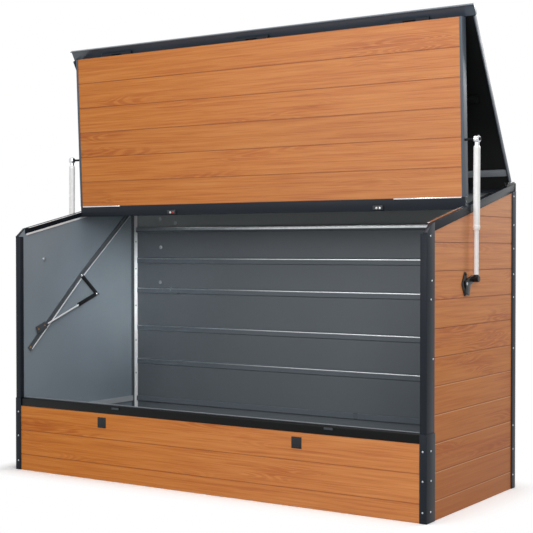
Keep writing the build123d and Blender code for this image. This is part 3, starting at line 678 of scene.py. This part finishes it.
# The slope lips are painted near white, a painted reflection of the bright studio under the slope trims.
lip_section, flange_section = (9, 3.6, 1.0), (15, 1.8, 0.5)
lip_x, lip_start, lip_end, lip_lift = wall_in - 1.8 * mm, -0.374, 0.385, -28.5 * mm
for side, sign in sides:
    slope_lip = sloping_bar(
        "slope_lip_" + side, sign * lip_x, lip_start, lip_end, lip_lift, lip_section, (-sign, 0, 0)
    )
    finish_piece(slope_lip, satin_silver, "box")
flange_zinc = bare_metal("flange_zinc", colour(200, 203, 206), rough=0.2)
flange_x, flange_start, flange_end, flange_lift = wall_in - 8.8 * mm, -0.366, 0.372, 0.4 * mm
for side, sign in sides:
    flange = sloping_bar(
        "slope_flange_" + side, sign * flange_x, flange_start, flange_end, flange_lift,
        flange_section, slope_up,
    )
    finish_piece(flange, flange_zinc, "box")

washer_profile = ((9.5, -0.5), (9.5, 1.0), (8.9, 1.6))
hex_profile = ((6.6, 1.2), (6.8, 5.2), (5.8, 6.2))
washer = turned("washer_pattern", washer_profile, facets=20)
hex_head = turned("hex_pattern", hex_profile, facets=6)
nothing_selected()
hex_head.select_set(True)
washer.select_set(True)
bpy.context.view_layer.objects.active = washer
bpy.ops.object.join()
hex_bolt = bpy.context.object
side_bolt = (-0.254, 0.974)
back_bolts = ((0.867, 1.175), (0.866, 0.852), (0.796, 0.818), (0.862, 1.031), (0.769, 1.154))
bolt_places = []
for side, sign in sides:
    bolt_places.append(((sign * wall_in, *side_bolt), (-sign, 0, 0)))
    bolt_places += [((sign * x, back_in, z), (0, -1, 0)) for x, z in back_bolts]
set_out(hex_bolt, "wall_bolts", bolt_places, rivet_steel, "box")
strip_rows = (0.17, 0.38, 0.55, 0.73, 0.92, 1.06, 1.20)
strip_rivets = []
for (side, sign), way in zip(sides, strip_ways):
    for z in strip_rows:
        strip_rivets.append((Vector((sign * strip_x, strip_y, z)) + way * strip_face, way))
set_out(rivet, "angle_rivets", strip_rivets, rivet_steel, "box")

# Folding stay on each side wall: a channel with a bright edge strip, a black knee lever
# and a pale rod with a grey end plate, joined by pins and held to the wall by brass screws.
paint(powder_coat("brace_coat", colour(84, 90, 96), rough=0.34), "wall_braces")
lever_fold = 0.9 * mm
lever_coat = powder_coat("lever_coat", colour(20, 21, 23), rough=0.34, dust=0.05)
eased("knee_levers", lever_coat, lever_fold)
plated = bare_metal("plated_steel", colour(226, 228, 230), rough=0.24)
brass = bare_metal("brass", colour(196, 148, 72), rough=0.3)
brace_foot, brace_elbow, brace_head = [
    Vector((0, y, z)) for y, z in ((-0.3587, 0.5525), (0.00085, 0.8931), (0.37485, 1.2116))
]
lever_knee, lever_tail = [Vector((0, y, z)) for y, z in ((0.11135, 0.7995), (-0.02975, 0.7462))]
rod_way = (lever_tail - lever_knee).normalized()
rod_bare = 0.226
rod_pale = (tuple(rod_way), rod_way.dot(lever_tail) + rod_bare, colour(226, 229, 232))
rod_coat = powder_coat(
    "stay_rod_coat", colour(78, 83, 89), rough=0.3, dust=0.04, inner=rod_pale, shine=0.5
)
paint(rod_coat, "stay_rods")
brace_section = (5.0, 2.6, 0.7)
edge_x, edge_set, edge_short = wall_in - 5.7 * mm, 11.5 * mm, 12 * mm
for side, sign in sides:
    for part, low, high in (("lower", brace_foot, brace_elbow), ("upper", brace_elbow, brace_head)):
        run = (high - low).normalized()
        shift = Vector((sign * edge_x, 0, 0)) + Vector((0, run.z, -run.y)) * edge_set
        brace_strip = flat_bar(
            f"brace_strip_{part}_{side}", low + shift + run * edge_short, high + shift - run * edge_short,
            brace_section, (-sign, 0, 0),
        )
        finish_piece(brace_strip, satin_silver, "box")
stay_pin_profile = ((8.5, -0.6), (8.5, 1.6), (7.6, 2.4), (5.0, 2.6), (5.0, 5.2), (4.0, 6.4))
stay_pin = turned("stay_pin_pattern", stay_pin_profile, facets=20)
pin_x, screw_x = wall_in - 9 * mm, wall_in - 2 * mm
rod_screws = (0.246, 0.290)
foot_screw = brace_foot + Vector((0, 10, 9)) * mm
head_screw = brace_head - Vector((0, 20, 17)) * mm
pin_places, screw_places = [], []
for side, sign in sides:
    inward = (-sign, 0, 0)
    pin_set, screw_set = Vector((sign * pin_x, 0, 0)), Vector((sign * screw_x, 0, 0))
    pin_places += [(pin_set + pivot, inward) for pivot in (brace_elbow, lever_knee, lever_tail)]
    screw_places += [(pin_set + lever_tail + rod_way * reach, inward) for reach in rod_screws]
    screw_places += [(screw_set + spot, inward) for spot in (foot_screw, head_screw)]
set_out(stay_pin, "stay_pins", pin_places, plated, "box")
set_out(rivet, "stay_screws", screw_places, brass, "box")

# Hinge rail along the back and the three rear hinges: the rail is folded and coated, the
# knuckles are dark steel barrels on plain pins, held by low-headed screws. Rubber seals lie
# along the rail and on the rear corners, which have small caps.
hinge_rail_fold = 1.5 * mm
eased("rear_hinge_rail", anthracite, hinge_rail_fold)
dark_steel = bare_metal("dark_hinge_steel", colour(58, 62, 67), rough=0.4)
paint(dark_steel, "rear_hinge_pins", "roof_hinge_leaves")
rubber, rubber_tree, rubber_shader, rubber_place = new_material("seal_rubber")
rubber_cloud = noise(rubber_tree, rubber_place, Scale=60.0)
rubber_tone = blend_tones(rubber_tree, rubber_cloud, colour(22, 22, 23), colour(34, 34, 35))
rubber_tree.links.new(rubber_tone, rubber_shader.inputs["Base Color"])
rubber_rough = scaled(rubber_tree, rubber_cloud, factor=0.2, base=0.55)
rubber_tree.links.new(rubber_rough, rubber_shader.inputs["Roughness"])
screw_profile = ((4.0, -0.6), (4.0, 0.5), (3.4, 1.0), (1.6, 1.0), (1.4, 0.1))
screw_head = turned("screw_pattern", screw_profile, facets=12)
rear_cap_section, seal_section, rail_seal_section = (18, 2.4, 0.6), (11, 8, 2.4), (12, 10, 2.4)
rear_cap_x, rear_cap_y = wall_in + 5.7 * mm, back + 2 * mm
rear_cap_low, rear_cap_high = rear_top - 36 * mm, rear_top + 1.5 * mm
seal_x, seal_start, seal_end, seal_lift = wall_in + 7.5 * mm, 0.338, 0.421, 5 * mm
for side, sign in sides:
    rear_cap = flat_bar(
        "rear_corner_cap_" + side, (sign * rear_cap_x, rear_cap_y, rear_cap_low),
        (sign * rear_cap_x, rear_cap_y, rear_cap_high), rear_cap_section, (0, 1, 0),
    )
    finish_piece(rear_cap, anthracite, "box")
    rear_seal = sloping_bar(
        "rear_seal_" + side, sign * seal_x, seal_start, seal_end, seal_lift, seal_section, slope_up
    )
    finish_piece(rear_seal, rubber, "box")
rail_seal_end, rail_seal_z = wall_in - 4 * mm, rear_top + 4 * mm
rail_seal_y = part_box("rear_hinge_rail")[0].y + 7.6 * mm
rail_seal = level_bar(
    "rear_rail_seal", -rail_seal_end, rail_seal_end, rail_seal_y, rail_seal_z, rail_seal_section, (0, 0, 1)
)
finish_piece(rail_seal, rubber, "box")
hinge_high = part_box("rear_hinge_pins")[1]
hinge_reach = hinge_high.x - 90 * mm
hinge_screw_y, hinge_screw_step = hinge_high.y - 11.4 * mm, 18 * mm
hinge_screws = []
for middle in (-hinge_reach, 0.0, hinge_reach):
    for x in (middle - hinge_screw_step, middle + hinge_screw_step):
        hinge_screws.append(((x, hinge_screw_y, hinge_high.z), (0, 0, 1)))
set_out(screw_head, "hinge_screws", hinge_screws, rivet_steel, "box")
rail_rivet_pitch, rail_rivet_z = 0.24, rear_top - 17 * mm
rail_rivets = [((rail_rivet_pitch * step, back, rail_rivet_z), (0, 1, 0)) for step in range(-4, 5)]
set_out(rivet, "rail_rivets", rail_rivets, rivet_steel, "box")

# Roof leaf: a ribbed sheet, blue-grey outside and painted near black below as painted shade,
# with lighter edge flashings down its sides and rails under it, also painted near black as
# shade. Hexagon screws hold the sheet to the rails.
roof_turn = radians(120)
roof_start = Vector((0, 0.355, 1.292))
roof_run = Vector((0, cos(roof_turn), sin(roof_turn)))
roof_out = Vector((0, sin(roof_turn), -cos(roof_turn)))
# Painted shade: near black for the undersides of the roof and the front leaf.
shade_black = colour(15, 16, 17)
roof_middle = 10.5 * mm
roof_under = (tuple(roof_out), roof_start.dot(roof_out) + roof_middle, shade_black)
roof_coat = powder_coat(
    "roof_coat", colour(66, 72, 79), rough=0.5, inner=roof_under, shine=0.15, peeled=False
)
paint(roof_coat, "roof_sheet")
edge_coat = powder_coat("edge_coat", colour(84, 92, 101), rough=0.5)
roof_fold = 0.9 * mm
eased("roof_edges", edge_coat, roof_fold)
# Painted shade: near black paint for the rails under the roof and the leaf's top rail, posts and rivets.
shade_coat = powder_coat("shade_coat", colour(17, 18, 19), rough=0.45, shine=0.15)
paint(shade_coat, "roof_rails")
eased("roof_rear_rail", powder_coat("pale_coat", colour(128, 133, 138)), roof_fold)
roof_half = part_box("roof_sheet")[1].x
roof_bays = 9
roof_bolt_rows, roof_bolt_out = (0.055, 0.3975, 0.684), 14 * mm
roof_bolts = []
for bay in range(1, roof_bays):
    bolt_x = (2 * bay / roof_bays - 1) * roof_half
    for along in roof_bolt_rows:
        spot = Vector((bolt_x, 0, 0)) + roof_start + roof_run * along + roof_out * roof_bolt_out
        roof_bolts.append((spot, roof_out))
set_out(hex_bolt, "roof_bolts", roof_bolts, rivet_steel, "roof")

# Eave cap: a folded nosing with a rounded front edge over the eave hinges, whose knuckles
# and pins are in its shade and painted dark as painted shade.
cap_coat = powder_coat("cap_coat", colour(70, 80, 92), rough=0.3, shine=0.5)
nosing_fold = 1.0 * mm
eased("eave_cap", cap_coat, nosing_fold)
# The knuckles and pins are painted dark to match the shade under the cap, a painted shade.
painted_shade_hinge_coat = powder_coat("painted_shade_hinge_coat", colour(37, 43, 50), rough=0.45, dust=0.08, shine=0.12)
paint(painted_shade_hinge_coat, "eave_hinge_pins", "front_leaf_knuckles")

# Front leaf: the same printed sheet, six planks high, in a folded frame, hung from the
# eave with a lean of two and a half degrees. Its back, its top rail, its posts and the rivets
# on them are painted near black as painted shade.
leaf_lean = radians(2.5)
eave = Vector((0, -0.0274985, 1.954507))
leaf_down = Vector((0, sin(leaf_lean), -cos(leaf_lean)))
leaf_out = Vector((0, -cos(leaf_lean), -sin(leaf_lean)))
leaf_wood_start, leaf_wood_end, leaf_planks = 0.012, 0.725, 6
leaf_pitch = (leaf_wood_end - leaf_wood_start) / leaf_planks
leaf_middle = 11.2 * mm
# The leaf's back is painted near black, a painted shade.
leaf_print = plank_print(
    "plank_print_leaf", "X", -leaf_wood_end, leaf_pitch, 47.0,
    (tuple(leaf_out), eave.dot(leaf_out) + leaf_middle), shade_black, shine=0.55,
    turn=-leaf_lean, lift=eave.dot(leaf_down),
)
paint(leaf_print, "front_leaf_panel")
# The leaf's top rail and posts are painted near black as painted shade.
paint(shade_coat, "front_leaf_top_rail", "front_leaf_posts")
eased("front_leaf_trim_left", cap_coat, trim_fold)
eased("front_leaf_trim_right", edge_coat, trim_fold)
eased("front_leaf_bottom_rail", anthracite, post_fold)


def on_leaf(x, down, out):
    """A point on the front leaf, down from the eave hinge and out of its face."""
    return Vector((x, 0, 0)) + eave + leaf_down * down + leaf_out * out


cleat_section = (5, 2.6, 0.7)
cleat_down, cleat_out = leaf_wood_end + 1.5 * mm, 22.5 * mm
for side, low, high in (("left", -1.004, -0.77), ("right", 0.70, 1.004)):
    cleat = flat_bar(
        "leaf_cleat_" + side, on_leaf(low, cleat_down, cleat_out), on_leaf(high, cleat_down, cleat_out),
        cleat_section, leaf_out,
    )
    finish_piece(cleat, plated, "front_leaf")
post_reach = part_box("front_leaf_posts")[1].x - 20 * mm
post_middles = (-post_reach, 0.0, post_reach)
post_rivet_rows, post_back = (0.09, 0.25, 0.41, 0.57, 0.70), -2 * mm
post_rivets = [(on_leaf(x, down, post_back), -leaf_out) for x in post_middles for down in post_rivet_rows]
# The rivets on the back of the leaf posts are painted near black, a painted shade.
set_out(rivet, "leaf_rivets", post_rivets, shade_coat, "front_leaf")

# Latches on the bottom rail: small dark housings with a release button, red on the left
# one, and a pale roller that catches on the strike plate.
housing_fold = 1.4 * mm
eased("latches", powder_coat("latch_housing", colour(52, 56, 61), rough=0.34), housing_fold)
red_plastic = powder_coat("red_plastic", colour(178, 44, 36), rough=0.34, dust=0.04)
white_nylon = powder_coat("white_nylon", colour(226, 224, 220), rough=0.4, dust=0.03)
button_profile = ((5.2, -0.6), (5.2, 2.0), (4.4, 3.2), (2.4, 3.8))
button = turned("button_pattern", button_profile)
latch_down, latch_face = 0.7625, 34 * mm
button_step, roller_step = 12 * mm, -4 * mm
latch_low, latch_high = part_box("latches")
latch_half = 23 * mm
for side, x, button_finish in (
    ("left", latch_low.x + latch_half, red_plastic), ("right", latch_high.x - latch_half, plated),
):
    button_place = (on_leaf(x + button_step, latch_down, latch_face), leaf_out)
    roller_place = (on_leaf(x + roller_step, latch_down, latch_face), leaf_out)
    set_out(button, "latch_button_" + side, [button_place], button_finish, "front_leaf")
    set_out(button, "latch_roller_" + side, [roller_place], white_nylon, "front_leaf")

# Gas struts: black pressed brackets bolted to the side walls, a white rod with a black eye
# that slides in a white tube with a gland nut, and a bright end on a dark stud at the front
# leaf.
bracket_black = powder_coat("bracket_black", colour(11, 11, 12), rough=0.3, dust=0.05, shine=0.3)
enamel = powder_coat("white_enamel", colour(243, 243, 242), rough=0.28, dust=0.02)
pivot = Vector((0, -0.02499, 0.90298))
stud = Vector((0, -0.021761, 1.456283))
strut_way = (stud - pivot).normalized()
tube_start, tube_end = 0.1993, 0.5193
eye_top = pivot.z + 17 * mm
fitting_start = pivot.z + tube_end - 0.5 * mm
strut_x = wall_out + 21 * mm
stud_end = strut_x - 12.5 * mm

rod_paint, rod_tree, rod_shader, rod_place = new_material("strut_rod_paint")
rod_eye = calc(rod_tree, "LESS_THAN", axes_of(rod_tree, rod_place)["Z"], eye_top)
rod_smear = noise(rod_tree, rod_place, Scale=26.0, Detail=3.0)
rod_white = blend_tones(rod_tree, rod_smear, colour(238, 239, 240), colour(250, 250, 250))
rod_tone = blend_tones(rod_tree, rod_eye, rod_white, colour(13, 13, 14))
rod_tree.links.new(rod_tone, rod_shader.inputs["Base Color"])
rod_tree.links.new(scaled(rod_tree, rod_smear, factor=0.16, base=0.2), rod_shader.inputs["Roughness"])

tube_paint, tube_tree, tube_shader, tube_place = new_material("strut_tube_paint")
tube_axes = axes_of(tube_tree, tube_place)
fitting = calc(tube_tree, "GREATER_THAN", tube_axes["Z"], fitting_start)
stud_part = calc(tube_tree, "LESS_THAN", calc(tube_tree, "ABSOLUTE", tube_axes["X"]), stud_end)
stud_shown = calc(tube_tree, "MULTIPLY", stud_part, fitting)
tube_cloud = noise(tube_tree, tube_place, Scale=30.0, Detail=3.0)
tube_white = blend_tones(tube_tree, tube_cloud, colour(238, 238, 237), colour(248, 248, 248))
tube_bright = blend_tones(tube_tree, fitting, tube_white, colour(214, 216, 219))
tube_tone = blend_tones(tube_tree, stud_shown, tube_bright, colour(30, 31, 33))
tube_tree.links.new(tube_tone, tube_shader.inputs["Base Color"])
tube_tree.links.new(fitting, tube_shader.inputs["Metallic"])
tube_rough = scaled(tube_tree, tube_cloud, factor=0.14, base=0.2)
tube_tree.links.new(tube_rough, tube_shader.inputs["Roughness"])

gland_profile = (
    (10.2, 0.0), (12.6, 0.0), (13.4, 0.8), (13.4, 6.0), (14.4, 6.6),
    (14.4, 16.0), (13.4, 17.0), (10.2, 17.0), (10.2, 0.0),
)
shoulder_profile = ((9.0, 9.0), (11.0, 8.0), (13.2, 3.0), (13.6, -3.0), (9.0, -3.0), (9.0, 9.0))
stud_cap_profile = ((7.0, -0.6), (7.0, 2.6), (6.2, 3.6), (3.4, 3.6), (3.2, 0.6))
clip_profile = ((5.2, -0.2), (11.4, -0.2), (12.0, 0.6), (11.4, 2.2), (5.2, 2.2), (5.2, -0.2))
bolt_profile = ((6.0, -0.6), (6.0, 1.4), (5.0, 2.8), (2.8, 3.2), (2.6, 1.2))
gland = turned("gland_pattern", gland_profile, facets=32, bored=True)
shoulder = turned("shoulder_pattern", shoulder_profile, facets=32, bored=True)
stud_cap = turned("stud_cap_pattern", stud_cap_profile, facets=20)
pin_clip = turned("pin_clip_pattern", clip_profile, facets=28, bored=True)
bracket_bolt = turned("bracket_bolt_pattern", bolt_profile, facets=20)
stud_cap_x, clip_x = strut_x + 12 * mm, strut_x + 10.4 * mm
gland_overlap = 5 * mm
bracket_fold = 0.9 * mm
arm_section, web_section = (28, 8, 2.4), (40, 5, 2.0)
foot_y, foot_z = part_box("strut_bracket_right")[0].yz
arm_x, web_x, plate_x, centre_x = [wall_out + lift * mm for lift in (6.8, 5.8, 4.0, 9.7)]
arm_start, arm_end = (foot_y + 20 * mm, foot_z + 45.5 * mm), (foot_y + 102 * mm, foot_z + 69.5 * mm)
web_start, web_end = (foot_y + 40 * mm, foot_z + 7 * mm), (foot_y + 59 * mm, foot_z + 66 * mm)
plate_bolts = ((foot_y + 31 * mm, foot_z + 86 * mm), (foot_y + 31 * mm, foot_z + 10 * mm))
centre_bolt = (foot_y + 30 * mm, foot_z + 49 * mm)
for side, sign in sides:
    tube, outward = "tube_" + side, (sign, 0, 0)
    eased("strut_bracket_" + side, bracket_black, bracket_fold)
    paint(rod_paint, "strut_rod_" + side)
    paint(tube_paint, "strut_tube_" + side)
    foot = Vector((sign * strut_x, 0, 0)) + pivot
    low_end = (foot + strut_way * (tube_start - gland_overlap), strut_way)
    high_end = (foot + strut_way * tube_end, strut_way)
    stud_face = ((sign * stud_cap_x, stud.y, stud.z), outward)
    pin_face = ((sign * clip_x, pivot.y, pivot.z), outward)
    set_out(gland, "gland_nut_" + side, [low_end], enamel, tube)
    set_out(shoulder, "tube_shoulder_" + side, [high_end], enamel, tube)
    set_out(stud_cap, "stud_cap_" + side, [stud_face], bracket_black, tube)
    set_out(pin_clip, "pin_clip_" + side, [pin_face], bracket_black, "box")
    arm = flat_bar(
        "bracket_arm_" + side, (sign * arm_x, *arm_start), (sign * arm_x, *arm_end), arm_section, outward
    )
    finish_piece(arm, bracket_black, "box")
    web = flat_bar(
        "bracket_web_" + side, (sign * web_x, *web_start), (sign * web_x, *web_end), web_section, outward
    )
    finish_piece(web, bracket_black, "box")
    corners = [((sign * plate_x, *spot), outward) for spot in plate_bolts]
    middle = ((sign * centre_x, *centre_bolt), outward)
    set_out(bracket_bolt, "bracket_bolts_" + side, corners, bracket_black, "box")
    set_out(bracket_bolt, "bracket_centre_bolt_" + side, [middle], rivet_steel, "box")

# The patterns that the fasteners were copied from go away.
for pattern in (
    rivet, flap_pin, hex_bolt, stay_pin, screw_head, button, gland, shoulder, stud_cap, pin_clip,
    bracket_bolt,
):
    bpy.data.objects.remove(pattern)
